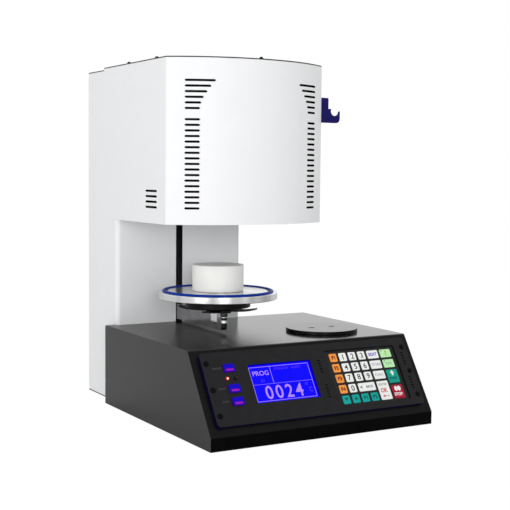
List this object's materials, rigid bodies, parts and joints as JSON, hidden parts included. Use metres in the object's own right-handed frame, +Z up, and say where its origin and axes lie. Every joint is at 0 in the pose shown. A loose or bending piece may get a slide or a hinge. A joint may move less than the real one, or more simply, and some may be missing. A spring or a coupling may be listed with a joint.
{
  "type": "dental laboratory furnace",
  "caption": "Bottom-loading dental furnace: black base with sloping keypad and display panel, white column and head, lifting sprung platform with seal and ceramic pedestal.",
  "frame": {"origin": "on the bench, under the middle of the bounding box", "axes": "+Z up, -Y towards the control panel, +X to the operator's right"},
  "size_m": [0.38, 0.488, 0.5518],
  "materials": {
    "white_paint": "white powder coat",
    "black_paint": "black satin powder coat",
    "panel_black": "blue-black semi-matt paint",
    "polished_steel": "turned and polished steel",
    "steel": "plain steel",
    "dark_steel": "blackened steel",
    "aluminium": "machined aluminium",
    "brass": "brass",
    "ceramic": "white unglazed ceramic",
    "fibre": "pressed ceramic fibre",
    "blue_silicone": "blue silicone ring",
    "hook_blue": "dark blue plastic",
    "button_blue": "blue plastic",
    "red_lamp": "lit red lamp",
    "unlit_lamp": "dark red lamp",
    "display": "blue display glass",
    "keypad_film": "printed membrane",
    "circuit_board": "green circuit board",
    "rubber": "black rubber",
    "black_plastic": "black plastic"
  },
  "bodies": {
    "housing": {"base_cover": "black_paint", "base_pan": "dark_steel", "foot_front_left": "rubber", "foot_front_right": "rubber", "foot_rear_left": "rubber", "foot_rear_right": "rubber", "control_panel": "panel_black", "keypad": "keypad_film", "display_window": "display", "display_module": "circuit_board", "button_board": "circuit_board", "lit_lamp": "red_lamp", "dark_lamp": "unlit_lamp", "cooling_plate": "dark_steel", "head_shell": "white_paint", "column_shell": "white_paint", "head_floor": "aluminium", "top_cover": "black_paint", "rear_cover": "black_paint", "tongs_hook": "hook_blue", "drive_frame": "steel", "guide_rod_left": "steel", "guide_rod_right": "steel", "lift_motor": "dark_steel", "seal_flange": "aluminium", "vacuum_pot": "aluminium", "muffle": "fibre", "heating_coil": "steel", "thermocouple": "ceramic", "fan_frame": "black_plastic", "mains_inlet": "black_plastic", "vacuum_port": "brass", "vacuum_hose": "rubber", "transformer": "dark_steel", "control_board": "circuit_board", "panel_screw_1": "dark_steel", "panel_screw_2": "dark_steel", "panel_screw_3": "dark_steel", "panel_screw_4": "dark_steel", "panel_screw_5": "dark_steel", "panel_screw_6": "dark_steel", "top_screw_1": "dark_steel", "top_screw_2": "dark_steel", "top_screw_3": "dark_steel"},
    "lift": {"lift_arm": "aluminium", "levelling_stud": "dark_steel", "leaf_spring_plate": "panel_black", "lift_carriage": "aluminium", "lift_nut": "brass"},
    "platform_assembly": {"platform": "polished_steel", "platform_seat": "panel_black", "platform_seal": "blue_silicone"},
    "pedestal": {"firing_pedestal": "ceramic"},
    "drive_screw": {"lead_screw": "steel", "motor_coupling": "aluminium"},
    "fan": {"fan_rotor": "black_plastic"},
    "rocker": {"switch_rocker": "black_plastic"},
    "button_1": {"push_button_1": "button_blue"},
    "button_2": {"push_button_2": "button_blue"},
    "button_3": {"push_button_3": "button_blue"}
  },
  "joints": [
    {"name": "lift_slide", "type": "slide", "parent": "housing", "child": "lift", "axis": [0, 0, 1], "range_m": [0, 0.1049]},
    {"name": "platform_float", "type": "slide", "parent": "lift", "child": "platform_assembly", "axis": [0, 0, 1], "range_m": [-0.002, 0], "stiffness_N_per_m": 8000, "springref_m": 0.008, "deforming": ["leaf_spring_plate"]},
    {"name": "pedestal_lift", "type": "slide", "parent": "platform_assembly", "child": "pedestal", "axis": [0, 0, 1], "range_m": [0, 0.05]},
    {"name": "lead_screw_spin", "type": "hinge", "parent": "housing", "child": "drive_screw", "pos_m": [-0.0615, 0.17, 0.07], "axis": [0, 0, 1], "range_deg": [0, 9500]},
    {"name": "fan_spin", "type": "hinge", "parent": "housing", "child": "fan", "pos_m": [-0.115, 0.2207, 0.459], "axis": [0, 1, 0], "continuous": true},
    {"name": "power_rocker", "type": "hinge", "parent": "housing", "child": "rocker", "pos_m": [0.02, 0.23535, 0.0765], "axis": [1, 0, 0], "range_deg": [0, 14]},
    {"name": "button_1_press", "type": "slide", "parent": "housing", "child": "button_1", "axis": [0, 0.8367, -0.5477], "range_m": [0, 0.002], "stiffness_N_per_m": 500, "springref_m": -0.002},
    {"name": "button_2_press", "type": "slide", "parent": "housing", "child": "button_2", "axis": [0, 0.8367, -0.5477], "range_m": [0, 0.002], "stiffness_N_per_m": 500, "springref_m": -0.002},
    {"name": "button_3_press", "type": "slide", "parent": "housing", "child": "button_3", "axis": [0, 0.8367, -0.5477], "range_m": [0, 0.002], "stiffness_N_per_m": 500, "springref_m": -0.002}
  ],
  "couplings": [
    {"joint": "lead_screw_spin", "follows": "lift_slide", "rad_per_m": 1570.8}
  ]
}
